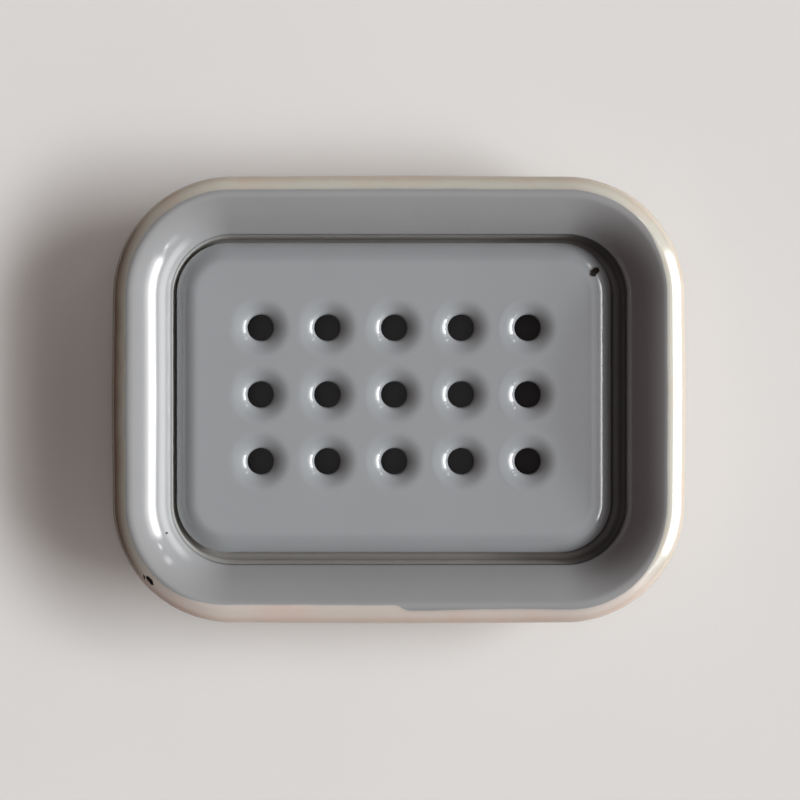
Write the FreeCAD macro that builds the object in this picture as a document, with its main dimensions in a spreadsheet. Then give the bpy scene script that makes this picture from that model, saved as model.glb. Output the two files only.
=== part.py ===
import FreeCAD, Part
import os
from math import cos, pi, radians, sin

import Sketcher

# Two-piece enamel soap dish. A rectangular pressed tray with a broad rolled rim stands on its
# flat floor. A perforated drainer, pressed as a shallow pan and turned upside down, rests loose
# in the radius at the foot of the tray's wall. All sizes are in millimetres, +Z is up, and the
# origin is the middle of the tray's base.

# Driving dimensions. An inset is measured inward from the outermost line of the rim, slopes
# and drafts are in degrees, and a sheet is the thickness of the enamelled steel.
DRIVING = {
    "tray_length": 140.0,
    "tray_width": 109.2,
    "tray_height": 21.0,
    "corner_radius": 29.0,
    "tray_sheet": 1.2,
    "roll_radius": 2.2,
    "roll_past_level": 50.0,
    "brow_slope": 27.0,
    "crest_inset": 4.6,
    "crest_radius": 3.3,
    "shoulder_radius": 17.3,
    "shoulder_start": 18.0,
    "shoulder_end": 50.0,
    "bend_radius": 2.0,
    "wall_draft": 2.5,
    "foot_radius": 2.7,
    "floor_lap": 1.0,
    "insert_sheet": 1.1,
    "insert_height": 10.7,
    "insert_play": 1.55,
    "gap_left": 0.35,
    "gap_back": 1.1,
    "seat_gap": 0.1,
    "skirt_draft": 2.0,
    "skirt_bend": 1.8,
    "crown_radius": 7.0,
    "crown_slope": 45.0,
    "deck_lap": 1.0,
    "hole_diameter": 6.4,
    "hole_pitch": 16.5,
    "hole_columns": 5,
    "hole_rows": 3,
    "grid_offset": 0.8,
    "dimple_land": 0.8,
    "dimple_slope": 37.0,
}

# Lengths that follow from the driving dimensions, one step at a time, as the sheet's formulas.
# The tray's section is worked out from its rim down to its floor.
TRAY_STEPS = {
    "crest_centre_height": "=tray_height - crest_radius",
    "brow_inset": "=roll_radius * (1 - sin(brow_slope))",
    "brow_run": "=crest_inset - crest_radius * sin(brow_slope) - brow_inset",
    "brow_drop": "=brow_run * tan(brow_slope)",
    "brow_height": "=crest_centre_height + crest_radius * cos(brow_slope) - brow_drop",
    "roll_centre_height": "=brow_height - roll_radius * cos(brow_slope)",
    "shoulder_start_reach": "=shoulder_radius - crest_radius",
    "shoulder_centre_inset": "=crest_inset - shoulder_start_reach * sin(shoulder_start)",
    "shoulder_centre_height": "=crest_centre_height - shoulder_start_reach * cos(shoulder_start)",
    "shoulder_end_reach": "=shoulder_radius - bend_radius",
    "bend_centre_inset": "=shoulder_centre_inset + shoulder_end_reach * sin(shoulder_end)",
    "bend_centre_height": "=shoulder_centre_height + shoulder_end_reach * cos(shoulder_end)",
    "wall_top_inset": "=bend_centre_inset + bend_radius * cos(wall_draft)",
    "wall_top_height": "=bend_centre_height + bend_radius * sin(wall_draft)",
    "foot_centre_height": "=tray_sheet + foot_radius",
    "wall_foot_height": "=foot_centre_height - foot_radius * sin(wall_draft)",
    "wall_rise": "=wall_top_height - wall_foot_height",
    "wall_foot_inset": "=wall_top_inset + wall_rise * tan(wall_draft)",
    "foot_centre_inset": "=wall_foot_inset + foot_radius * cos(wall_draft)",
    "floor_inset": "=foot_centre_inset + floor_lap / 2",
    "floor_length": "=tray_length - 2 * floor_inset",
    "floor_width": "=tray_width - 2 * floor_inset",
    "floor_corner": "=corner_radius - floor_inset",
}

# The drainer's section is worked out from its lower edge up to its deck. It is smaller than the
# tray by its play, and lies where the photograph shows it, towards the left and the back. Its
# height is where its rounded edge then sits in the radius at the foot of the wall.
INSERT_STEPS = {
    "insert_inset": "=wall_foot_inset + insert_play",
    "insert_length": "=tray_length - 2 * insert_inset",
    "insert_width": "=tray_width - 2 * insert_inset",
    "insert_corner": "=corner_radius - insert_inset",
    "edge_radius": "=insert_sheet / 2",
    "insert_left": "=insert_play - gap_left",
    "insert_back": "=insert_play - gap_back",
    "insert_shift": "=sqrt(insert_left ^ 2 + insert_back ^ 2)",
    "seat_reach": "=foot_centre_inset - insert_inset - edge_radius + insert_shift",
    "seat_radius": "=foot_radius - edge_radius - seat_gap",
    "seat_drop": "=sqrt(seat_radius ^ 2 - seat_reach ^ 2)",
    "insert_base": "=foot_centre_height - seat_drop - edge_radius",
    "crown_centre_height": "=insert_height - crown_radius",
    "crown_reach": "=crown_radius - skirt_bend",
    "skirt_bend_height": "=crown_centre_height + crown_reach * cos(crown_slope)",
    "skirt_middle": "=skirt_bend - edge_radius",
    "skirt_rise": "=skirt_bend_height + skirt_middle * sin(skirt_draft) - edge_radius",
    "skirt_run": "=skirt_rise * tan(skirt_draft)",
    "skirt_bend_inset": "=edge_radius + skirt_run + skirt_middle * cos(skirt_draft)",
    "crown_centre_inset": "=skirt_bend_inset + crown_reach * sin(crown_slope)",
    "deck_inset": "=crown_centre_inset + deck_lap / 2",
    "deck_length": "=insert_length - 2 * deck_inset",
    "deck_width": "=insert_width - 2 * deck_inset",
    "deck_corner": "=insert_corner - deck_inset",
    "deck_underside": "=insert_height - insert_sheet",
}

# The dimples stand a narrow land apart, and each one curves down to the edge of its hole.
HOLE_STEPS = {
    "column_span": "=hole_pitch * (hole_columns - 1)",
    "row_span": "=hole_pitch * (hole_rows - 1)",
    "first_hole_x": "=-column_span / 2",
    "first_hole_y": "=grid_offset - row_span / 2",
    "hole_radius": "=hole_diameter / 2",
    "dimple_radius": "=(hole_pitch - dimple_land) / 2",
    "dimple_reach": "=dimple_radius - hole_radius",
    "dimple_curve": "=dimple_reach / sin(dimple_slope)",
    "dimple_centre_height": "=insert_height - dimple_curve",
    "dimple_under_curve": "=dimple_curve - insert_sheet",
}

# A sketch's own axis and origin, and the points of an edge, as its constraints name them.
SKETCH_ORIGIN = -1
SKETCH_X_AXIS = -1
START, END, CENTRE = range(1, 4)

doc = FreeCAD.newDocument("soap_dish")


def fill_sheet():
    """Put the driving and derived sizes into a sheet, one alias a row."""
    filled = doc.addObject("Spreadsheet::Sheet", "sizes")
    rows = {**DRIVING, **TRAY_STEPS, **INSERT_STEPS, **HOLE_STEPS}
    for row, (alias, value) in enumerate(rows.items(), start=1):
        filled.set(f"A{row}", alias)
        filled.set(f"B{row}", str(value))
        filled.setAlias(f"B{row}", alias)
    doc.recompute()
    return filled


sheet = fill_sheet()


def size(alias):
    """Read one size from the sheet as a number."""
    return float(sheet.get(alias))


def new_body(label):
    """Start a body whose label names its file."""
    body = doc.addObject("PartDesign::Body", label)
    body.Label = label
    return body


def origin_feature(body, role):
    """The plane or axis of the body's origin that has the given role."""
    return next(feature for feature in body.Origin.OriginFeatures if feature.Role == role)


def new_sketch(body, name, role, **shifts):
    """Start a sketch on one of the body's origin planes.

    A shift moves the sketch's own origin along its x, y or z axis by an expression of the
    sheet's sizes.
    """
    sketch = body.newObject("Sketcher::SketchObject", name)
    sketch.AttachmentSupport = [(origin_feature(body, role), "")]
    sketch.MapMode = "FlatFace"
    for axis, expression in shifts.items():
        sketch.setExpression(f"AttachmentOffset.Base.{axis}", expression)
    return sketch


def rule(sketch, *terms):
    """Add one constraint between edges or points of a sketch."""
    sketch.addConstraint(Sketcher.Constraint(*terms))


def drive(sketch, name, expression, *terms):
    """Add one dimension to a sketch and bind it to an expression of the sheet's sizes."""
    index = sketch.addConstraint(Sketcher.Constraint(*terms))
    sketch.renameConstraint(index, name)
    sketch.setExpression(f"Constraints.{name}", expression)


def line(sketch, start, end):
    """Add a straight edge and return its index."""
    segment = Part.LineSegment(FreeCAD.Vector(*start, 0), FreeCAD.Vector(*end, 0))
    return sketch.addGeometry(segment, False)


def arc(sketch, centre, radius, first, last):
    """Add an arc that turns to the left from one angle to another and return its index."""
    circle = Part.Circle(FreeCAD.Vector(*centre, 0), FreeCAD.Vector(0, 0, 1), radius)
    return sketch.addGeometry(Part.ArcOfCircle(circle, first, last), False)


def polar(centre, radius, angle):
    """The point of a circle at an angle, in radians."""
    return centre[0] + radius * cos(angle), centre[1] + radius * sin(angle)


def join_smoothly(sketch, chain):
    """Make each edge of a chain tangent to the next one.

    Each item of the chain is an edge and the two points by which the chain enters and leaves it.
    """
    for (edge, _, leaves), (following, enters, _) in zip(chain, chain[1:]):
        rule(sketch, "Tangent", edge, leaves, following, enters)


def draw_rounded_rectangle(sketch, length, width, radius):
    """Draw a rounded rectangle about the origin, its sizes given as aliases of the sheet.

    The outline starts in the middle of its +X side, where a section drawn on the XZ plane
    stands, so that side is drawn as two lines.
    """
    half_length, half_width, corner = size(length) / 2, size(width) / 2, size(radius)
    middle_x, middle_y = half_length - corner, half_width - corner
    right_upper = line(sketch, (half_length, 0), (half_length, middle_y))
    right_back = arc(sketch, (middle_x, middle_y), corner, 0, pi / 2)
    back = line(sketch, (middle_x, half_width), (-middle_x, half_width))
    left_back = arc(sketch, (-middle_x, middle_y), corner, pi / 2, pi)
    left = line(sketch, (-half_length, middle_y), (-half_length, -middle_y))
    left_front = arc(sketch, (-middle_x, -middle_y), corner, pi, 1.5 * pi)
    front = line(sketch, (-middle_x, -half_width), (middle_x, -half_width))
    right_front = arc(sketch, (middle_x, -middle_y), corner, 1.5 * pi, 2 * pi)
    right_lower = line(sketch, (half_length, -middle_y), (half_length, 0))

    loop = (right_upper, right_back, back, left_back, left, left_front, front, right_front, right_lower)
    join_smoothly(sketch, [(edge, START, END) for edge in loop])
    rule(sketch, "Coincident", right_lower, END, right_upper, START)
    rule(sketch, "PointOnObject", right_upper, START, SKETCH_X_AXIS)
    for upright in (right_upper, right_lower, left):
        rule(sketch, "Vertical", upright)
    for level in (back, front):
        rule(sketch, "Horizontal", level)
    for other in (left_back, left_front, right_front):
        rule(sketch, "Equal", right_back, other)
    drive(sketch, "corner", f"sizes.{radius}", "Radius", right_back, corner)
    drive(sketch, "right_side", f"sizes.{length} / 2",
          "DistanceX", SKETCH_ORIGIN, START, right_upper, START, half_length)
    drive(sketch, "left_side", f"sizes.{length} / 2",
          "DistanceX", left, START, SKETCH_ORIGIN, START, half_length)
    drive(sketch, "back_side", f"sizes.{width} / 2",
          "DistanceY", SKETCH_ORIGIN, START, back, START, half_width)
    drive(sketch, "front_side", f"sizes.{width} / 2",
          "DistanceY", front, START, SKETCH_ORIGIN, START, half_width)


def draw_tray_section(sketch):
    """Draw the section of the tray's wall, from its floor up, over the rim and under its roll.

    The upper side of the sheet and its underside are drawn one after the other. The arcs of
    both sides share their centres.
    """
    edge_of_tray, thickness = size("tray_length") / 2, size("tray_sheet")
    draft, past_level = radians(size("wall_draft")), radians(size("roll_past_level"))
    brow_tilt = pi / 2 - radians(size("brow_slope"))
    shoulder_start = pi / 2 + radians(size("shoulder_start"))
    shoulder_end = pi / 2 + radians(size("shoulder_end"))
    foot_centre = (edge_of_tray - size("foot_centre_inset"), size("foot_centre_height"))
    bend_centre = (edge_of_tray - size("bend_centre_inset"), size("bend_centre_height"))
    shoulder_centre = (edge_of_tray - size("shoulder_centre_inset"), size("shoulder_centre_height"))
    crest_centre = (edge_of_tray - size("crest_inset"), size("crest_centre_height"))
    roll_centre = (edge_of_tray - size("roll_radius"), size("roll_centre_height"))
    floor_end = foot_centre[0] - size("floor_lap")

    def draw_side(below):
        """Draw one side of the sheet, a depth below its upper side, and return its edges."""
        level = thickness - below
        foot_radius, bend_radius = size("foot_radius") + below, size("bend_radius") - below
        crest_radius, roll_radius = size("crest_radius") - below, size("roll_radius") - below
        floor = line(sketch, (floor_end, level), (foot_centre[0], level))
        foot = arc(sketch, foot_centre, foot_radius, -pi / 2, -draft)
        wall = line(sketch, polar(foot_centre, foot_radius, -draft),
                    polar(bend_centre, bend_radius, pi - draft))
        bend = arc(sketch, bend_centre, bend_radius, shoulder_end, pi - draft)
        shoulder = arc(sketch, shoulder_centre, size("shoulder_radius") - below,
                       shoulder_start, shoulder_end)
        crest = arc(sketch, crest_centre, crest_radius, brow_tilt, shoulder_start)
        brow = line(sketch, polar(crest_centre, crest_radius, brow_tilt),
                    polar(roll_centre, roll_radius, brow_tilt))
        roll = arc(sketch, roll_centre, roll_radius, -past_level, brow_tilt)
        join_smoothly(sketch, [(floor, START, END), (foot, START, END), (wall, START, END),
                               (bend, END, START), (shoulder, END, START), (crest, END, START),
                               (brow, START, END), (roll, END, START)])
        rule(sketch, "Horizontal", floor)
        return floor, foot, wall, bend, shoulder, crest, brow, roll

    floor, foot, wall, bend, shoulder, crest, brow, roll = draw_side(0)
    (floor_under, foot_under, wall_under, bend_under, shoulder_under, crest_under, brow_under,
     roll_under) = draw_side(thickness)
    inner_end = line(sketch, (floor_end, 0), (floor_end, thickness))
    roll_end = line(sketch, polar(roll_centre, size("roll_radius") - thickness, -past_level),
                    polar(roll_centre, size("roll_radius"), -past_level))

    for above, beneath in ((foot, foot_under), (bend, bend_under), (shoulder, shoulder_under),
                           (crest, crest_under), (roll, roll_under)):
        rule(sketch, "Coincident", above, CENTRE, beneath, CENTRE)
    rule(sketch, "Parallel", wall, wall_under)
    rule(sketch, "Parallel", brow, brow_under)
    rule(sketch, "Coincident", inner_end, START, floor_under, START)
    rule(sketch, "Coincident", inner_end, END, floor, START)
    rule(sketch, "Vertical", inner_end)
    rule(sketch, "PointOnObject", floor_under, START, SKETCH_X_AXIS)
    rule(sketch, "Coincident", roll_end, START, roll_under, START)
    rule(sketch, "Coincident", roll_end, END, roll, START)
    rule(sketch, "PointOnObject", roll, CENTRE, roll_end)

    drive(sketch, "thickness", "sizes.tray_sheet",
          "DistanceY", inner_end, START, inner_end, END, thickness)
    drive(sketch, "floor_lap", "sizes.floor_lap",
          "DistanceX", floor, START, floor, END, size("floor_lap"))
    for edge, name in ((foot, "foot_radius"), (bend, "bend_radius"), (shoulder, "shoulder_radius"),
                       (crest, "crest_radius"), (roll, "roll_radius")):
        drive(sketch, name, f"sizes.{name}", "Radius", edge, size(name))
    drive(sketch, "wall_lean", "(90 - sizes.wall_draft) * 1 deg", "Angle", wall, pi / 2 - draft)
    drive(sketch, "brow_lean", "-sizes.brow_slope * 1 deg", "Angle", brow, brow_tilt - pi / 2)
    drive(sketch, "roll_lean", "-sizes.roll_past_level * 1 deg", "Angle", roll_end, -past_level)
    for edge, name, inset in ((crest, "crest", "crest_inset"), (roll, "roll", "roll_radius"),
                              (shoulder, "shoulder", "shoulder_centre_inset"),
                              (bend, "bend", "bend_centre_inset")):
        drive(sketch, f"{name}_across", f"sizes.tray_length / 2 - sizes.{inset}",
              "DistanceX", SKETCH_ORIGIN, START, edge, CENTRE, edge_of_tray - size(inset))
    drive(sketch, "crest_up", "sizes.crest_centre_height",
          "DistanceY", SKETCH_ORIGIN, START, crest, CENTRE, size("crest_centre_height"))


def draw_insert_section(sketch):
    """Draw the section of the drainer's skirt, from its rounded lower edge up to its deck.

    The skirt turns into the deck over a small bend and then a wide, shallow crown.
    """
    edge_of_insert, edge_radius = size("insert_length") / 2, size("edge_radius")
    draft, crown_end = radians(size("skirt_draft")), pi / 2 - radians(size("crown_slope"))
    edge_centre = (edge_of_insert - edge_radius, edge_radius)
    bend_centre = (edge_of_insert - size("skirt_bend_inset"), size("skirt_bend_height"))
    crown_centre = (edge_of_insert - size("crown_centre_inset"), size("crown_centre_height"))
    deck_end = crown_centre[0] - size("deck_lap")

    def draw_side(edge_angle, below):
        """Draw one side of the sheet, a depth below its upper side, and return its edges."""
        bend_radius, crown_radius = size("skirt_bend") - below, size("crown_radius") - below
        level = size("insert_height") - below
        skirt = line(sketch, polar(edge_centre, edge_radius, edge_angle),
                     polar(bend_centre, bend_radius, draft))
        bend = arc(sketch, bend_centre, bend_radius, draft, crown_end)
        crown = arc(sketch, crown_centre, crown_radius, crown_end, pi / 2)
        deck = line(sketch, (crown_centre[0], level), (deck_end, level))
        join_smoothly(sketch, [(skirt, START, END), (bend, START, END), (crown, START, END),
                               (deck, START, END)])
        rule(sketch, "Horizontal", deck)
        return skirt, bend, crown, deck

    lower_edge = arc(sketch, edge_centre, edge_radius, pi + draft, 2 * pi + draft)
    skirt, bend, crown, deck = draw_side(draft, 0)
    skirt_inside, bend_inside, crown_inside, deck_under = draw_side(pi + draft, size("insert_sheet"))
    inner_end = line(sketch, (deck_end, size("deck_underside")), (deck_end, size("insert_height")))

    rule(sketch, "Tangent", lower_edge, END, skirt, START)
    rule(sketch, "Tangent", lower_edge, START, skirt_inside, START)
    rule(sketch, "Coincident", bend, CENTRE, bend_inside, CENTRE)
    rule(sketch, "Coincident", crown, CENTRE, crown_inside, CENTRE)
    rule(sketch, "Coincident", inner_end, START, deck_under, END)
    rule(sketch, "Coincident", inner_end, END, deck, END)
    rule(sketch, "Vertical", inner_end)

    drive(sketch, "edge_radius", "sizes.edge_radius", "Radius", lower_edge, edge_radius)
    drive(sketch, "bend_radius", "sizes.skirt_bend", "Radius", bend, size("skirt_bend"))
    drive(sketch, "crown_radius", "sizes.crown_radius", "Radius", crown, size("crown_radius"))
    drive(sketch, "crown_inside_radius", "sizes.crown_radius - sizes.insert_sheet",
          "Radius", crown_inside, size("crown_radius") - size("insert_sheet"))
    drive(sketch, "skirt_lean", "(90 + sizes.skirt_draft) * 1 deg", "Angle", skirt, pi / 2 + draft)
    drive(sketch, "deck_lap", "sizes.deck_lap", "DistanceX", deck, END, deck, START, size("deck_lap"))
    drive(sketch, "edge_across", "sizes.insert_length / 2 - sizes.edge_radius",
          "DistanceX", SKETCH_ORIGIN, START, lower_edge, CENTRE, edge_centre[0])
    drive(sketch, "edge_up", "sizes.edge_radius",
          "DistanceY", SKETCH_ORIGIN, START, lower_edge, CENTRE, edge_radius)
    drive(sketch, "crown_across", "sizes.insert_length / 2 - sizes.crown_centre_inset",
          "DistanceX", SKETCH_ORIGIN, START, crown, CENTRE, crown_centre[0])
    drive(sketch, "crown_up", "sizes.crown_centre_height",
          "DistanceY", SKETCH_ORIGIN, START, crown, CENTRE, crown_centre[1])


def draw_dimple_section(sketch):
    """Draw half of a dimple's section, from the edge of its hole out to the flat deck.

    The sketch's own y axis is the axis of the hole.
    """
    lip_across, centre_across = size("hole_radius"), size("dimple_radius")
    centre = (centre_across, size("dimple_centre_height"))
    curve, under_curve = size("dimple_curve"), size("dimple_under_curve")
    reach = size("dimple_reach")
    lip_top = (lip_across, centre[1] + (curve ** 2 - reach ** 2) ** 0.5)
    lip_bottom = (lip_across, centre[1] + (under_curve ** 2 - reach ** 2) ** 0.5)
    slope = radians(size("dimple_slope"))
    top = arc(sketch, centre, curve, pi / 2, pi / 2 + slope)
    under = arc(sketch, centre, under_curve, pi / 2, pi / 2 + slope)
    lip = line(sketch, lip_bottom, lip_top)
    outer = line(sketch, (centre[0], centre[1] + under_curve), (centre[0], centre[1] + curve))

    rule(sketch, "Coincident", top, CENTRE, under, CENTRE)
    rule(sketch, "Coincident", outer, START, under, START)
    rule(sketch, "Coincident", outer, END, top, START)
    rule(sketch, "Coincident", lip, START, under, END)
    rule(sketch, "Coincident", lip, END, top, END)
    rule(sketch, "Vertical", lip)
    rule(sketch, "Vertical", outer)
    rule(sketch, "PointOnObject", top, CENTRE, outer)
    drive(sketch, "curve", "sizes.dimple_curve", "Radius", top, curve)
    drive(sketch, "under_curve", "sizes.dimple_under_curve", "Radius", under, under_curve)
    drive(sketch, "lip_across", "sizes.hole_radius",
          "DistanceX", SKETCH_ORIGIN, START, lip, END, lip_across)
    drive(sketch, "centre_across", "sizes.dimple_radius",
          "DistanceX", SKETCH_ORIGIN, START, top, CENTRE, centre_across)
    drive(sketch, "centre_up", "sizes.dimple_centre_height",
          "DistanceY", SKETCH_ORIGIN, START, top, CENTRE, centre[1])


def sweep_round(body, name, section, outline):
    """Sweep a closed section once round an outline."""
    doc.recompute()
    ring = body.newObject("PartDesign::AdditivePipe", name)
    ring.Profile = section
    ring.Spine = (outline, [f"Edge{number}" for number in range(1, outline.GeometryCount + 1)])
    ring.Mode = "Standard"
    return ring


def pad_up(body, name, outline, height):
    """Pad an outline upward by a height that is an alias of the sheet."""
    pad = body.newObject("PartDesign::Pad", name)
    pad.Profile = outline
    pad.setExpression("Length", f"sizes.{height}")
    return pad


def build_tray():
    """Make the tray: its wall and rim swept round the outline and closed by a flat floor."""
    body = new_body("dish_tray")
    rim_outline = new_sketch(body, "rim_outline", "XY_Plane")
    draw_rounded_rectangle(rim_outline, "tray_length", "tray_width", "corner_radius")
    section = new_sketch(body, "wall_section", "XZ_Plane")
    draw_tray_section(section)
    sweep_round(body, "wall_and_rim", section, rim_outline)
    floor_outline = new_sketch(body, "floor_outline", "XY_Plane")
    draw_rounded_rectangle(floor_outline, "floor_length", "floor_width", "floor_corner")
    pad_up(body, "floor", floor_outline, "tray_sheet")
    return body


def add_first_dimple(body):
    """Cut a round blank out of the deck near one corner and fill it with a holed dimple."""
    doc.recompute()
    flat_volume = body.Tip.Shape.Volume
    blank_outline = new_sketch(body, "blank_outline", "XY_Plane", x="sizes.first_hole_x",
                               y="sizes.first_hole_y", z="sizes.insert_height")
    circle = Part.Circle(FreeCAD.Vector(0, 0, 0), FreeCAD.Vector(0, 0, 1), size("dimple_radius"))
    edge = blank_outline.addGeometry(circle, False)
    rule(blank_outline, "Coincident", edge, CENTRE, SKETCH_ORIGIN, START)
    drive(blank_outline, "radius", "sizes.dimple_radius", "Radius", edge, circle.Radius)
    blank = body.newObject("PartDesign::Pocket", "dimple_blank")
    blank.Profile = blank_outline
    blank.setExpression("Length", "2 * sizes.insert_sheet")
    doc.recompute()
    if not 0 < blank.Shape.Volume < flat_volume:
        raise ValueError("the blank of the dimple took nothing from the deck")

    section = new_sketch(body, "dimple_section", "XZ_Plane", x="sizes.first_hole_x",
                         z="-sizes.first_hole_y")
    draw_dimple_section(section)
    dimple = body.newObject("PartDesign::Revolution", "dimple")
    dimple.Profile = section
    dimple.ReferenceAxis = (section, ["V_Axis"])
    dimple.Angle = 360
    return blank, dimple


def repeat_dimples(body, originals):
    """Repeat the dimple in columns along the dish and in rows across it."""
    grid = body.newObject("PartDesign::LinearPattern", "dimple_grid")
    grid.Originals = originals
    grid.Direction = (origin_feature(body, "X_Axis"), [""])
    grid.Direction2 = (origin_feature(body, "Y_Axis"), [""])
    body.Tip = grid
    grid.setExpression("Length", "sizes.column_span")
    grid.setExpression("Length2", "sizes.row_span")
    grid.setExpression("Occurrences", "sizes.hole_columns")
    grid.setExpression("Occurrences2", "sizes.hole_rows")


def build_insert():
    """Make the drainer: its skirt swept round, its deck, and the grid of dimpled holes."""
    body = new_body("drainer_insert")
    skirt_outline = new_sketch(body, "skirt_outline", "XY_Plane")
    draw_rounded_rectangle(skirt_outline, "insert_length", "insert_width", "insert_corner")
    section = new_sketch(body, "skirt_section", "XZ_Plane")
    draw_insert_section(section)
    sweep_round(body, "skirt", section, skirt_outline)
    deck_outline = new_sketch(body, "deck_outline", "XY_Plane", z="sizes.deck_underside")
    draw_rounded_rectangle(deck_outline, "deck_length", "deck_width", "deck_corner")
    pad_up(body, "deck", deck_outline, "insert_sheet")
    repeat_dimples(body, list(add_first_dimple(body)))
    body.setExpression("Placement.Base.x", "-sizes.insert_left")
    body.setExpression("Placement.Base.y", "sizes.insert_back")
    body.setExpression("Placement.Base.z", "sizes.insert_base")
    return body


def write_parts(bodies):
    """Check every feature and write one STEP file for each body."""
    doc.recompute()
    for thing in doc.Objects:
        if {"Invalid", "Error"} & set(thing.State):
            raise ValueError(f"{thing.Name} could not be built: {thing.State}")
    os.makedirs("parts", exist_ok=True)
    for body in bodies:
        shape = body.Shape
        if shape.isNull() or not shape.isValid() or len(shape.Solids) != 1:
            raise ValueError(f"{body.Label} is not one valid solid")
        shape.exportStep(f"parts/{body.Label}.step")
        box = shape.optimalBoundingBox()
        print(f"{body.Label}: {shape.Volume:.0f} mm3, {len(shape.Faces)} faces, "
              f"{box.XLength:.2f} x {box.YLength:.2f} x {box.ZLength:.2f} mm, "
              f"z {box.ZMin:.2f} to {box.ZMax:.2f}")


write_parts([build_tray(), build_insert()])
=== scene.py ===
import logging
import math
from dataclasses import dataclass, field
from enum import Enum
from functools import cached_property, reduce
from typing import Mapping, Optional, Sequence, Union

import bmesh
import bpy
import numpy as np
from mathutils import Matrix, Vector


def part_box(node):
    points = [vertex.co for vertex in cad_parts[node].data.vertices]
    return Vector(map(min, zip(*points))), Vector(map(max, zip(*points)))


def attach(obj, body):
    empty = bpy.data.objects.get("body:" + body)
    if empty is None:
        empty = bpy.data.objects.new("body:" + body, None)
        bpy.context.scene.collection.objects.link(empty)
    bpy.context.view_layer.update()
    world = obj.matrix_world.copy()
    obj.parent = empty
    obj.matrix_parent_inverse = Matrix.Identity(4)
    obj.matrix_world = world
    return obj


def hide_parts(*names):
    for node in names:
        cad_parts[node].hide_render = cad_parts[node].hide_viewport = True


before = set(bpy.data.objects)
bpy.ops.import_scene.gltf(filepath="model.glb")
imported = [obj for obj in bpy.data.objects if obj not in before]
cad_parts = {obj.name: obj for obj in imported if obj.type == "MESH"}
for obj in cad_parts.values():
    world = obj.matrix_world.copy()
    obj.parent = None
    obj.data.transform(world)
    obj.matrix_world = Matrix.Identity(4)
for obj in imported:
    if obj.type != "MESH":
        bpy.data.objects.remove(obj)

LOG = logging.getLogger("soap_dish")
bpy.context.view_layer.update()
MM = 0.001
# Points closer together than this are one point.
WELD = 0.0005 * MM
# How finely sections and corners are divided.
ARC_TURN = 6.0
ARC_RUN = 0.6 * MM
STRAIGHT_RUN = 1.4 * MM
HALF_CORNER_STEPS = 16
FILL_RINGS = 6
# The corners of both pieces are round about the same upright lines.
CORNER_CENTRE_X = 41.0 * MM
# What Shell.VALUE_NAMES hold at a point that is nowhere near the rim.
DEEP_INSIDE = (-100.0 * MM, 100.0 * MM)
# Width of the camera's film, in millimetres as Blender has it.
FILM_WIDTH = 36.0

Colour = tuple[float, float, float]
Point = tuple[float, float]


def arc_points(centre: Point, radius: float, first: float, last: float) -> np.ndarray:
    """Points of a round stretch of a section.

    Args:
        centre: Inset and height of the arc's centre.
        radius: Radius of the arc.
        first: Tilt where it starts, in degrees from straight up towards the middle of the dish.
        last: Tilt where it ends.

    Returns:
        One row of inset and height for each point.
    """
    turn = abs(last - first)
    steps = math.ceil(max(turn / ARC_TURN, math.radians(turn) * radius / ARC_RUN, 2))
    tilts = np.radians(np.linspace(first, last, steps + 1))
    return np.column_stack([np.sin(tilts), np.cos(tilts)]) * radius + centre


def beyond(centre: Point, reach: float, tilt: float) -> Point:
    """Point of a section at a distance from another and at a tilt in degrees."""
    angle = math.radians(tilt)
    return centre[0] + reach * math.sin(angle), centre[1] + reach * math.cos(angle)


def tightened(arc_radius: float, bend_radius: float, turn: float, tight_radius: float) -> float:
    """Turn of a tighter bend between the same arc and the same wall.

    Args:
        arc_radius: Radius of the arc before the bend.
        bend_radius: Radius of the wider bend.
        turn: Turn of the wider bend, in degrees.
        tight_radius: Radius of the tighter bend.

    Returns:
        The turn of the tighter bend.
    """
    reach = (arc_radius - bend_radius) * math.cos(math.radians(turn)) + bend_radius
    return math.degrees(math.acos((reach - tight_radius) / (arc_radius - tight_radius)))


def join_runs(*runs: np.ndarray) -> np.ndarray:
    """String stretches of a section together and divide the long straight runs between them.

    Args:
        runs: Stretches in the order in which they follow each other.

    Returns:
        The points of the whole section.
    """
    points = np.vstack(runs)
    joined = [points[:1]]
    for start, end in zip(points, points[1:]):
        gap = float(np.linalg.norm(end - start))
        if gap > WELD:
            steps = max(1, math.ceil(gap / STRAIGHT_RUN))
            joined.append(start + np.linspace(0, 1, steps + 1)[1:, None] * (end - start))
    return np.vstack(joined)


def run_lengths(points: np.ndarray) -> np.ndarray:
    """Length along a section from its first point to each point."""
    return np.concatenate([[0.0], np.cumsum(np.linalg.norm(np.diff(points, axis=0), axis=1))])


def rectangle_loop(half_length: float, half_width: float, long_steps: int,
                   short_steps: int) -> np.ndarray:
    """Points round a rectangle from its front left corner, evenly spaced along each side.

    Args:
        half_length: Half of its length.
        half_width: Half of its width.
        long_steps: Steps along each long side.
        short_steps: Steps along each short side.

    Returns:
        One row of x and y for each point.
    """
    along = np.linspace(-1, 1, long_steps + 1)[:-1]
    across = np.linspace(-1, 1, short_steps + 1)[:-1]
    ones_along, ones_across = np.ones(long_steps), np.ones(short_steps)
    sides = [(along, -ones_along), (ones_across, across), (-along, ones_along),
             (-ones_across, -across)]
    return np.vstack([np.column_stack([x * half_length, y * half_width]) for x, y in sides])


def soft_step(value: np.ndarray, middle: float, spread: float) -> np.ndarray:
    """A soft step from 0 to 1 about a middle value."""
    return 1 / (1 + np.exp((middle - value) / spread))


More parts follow.
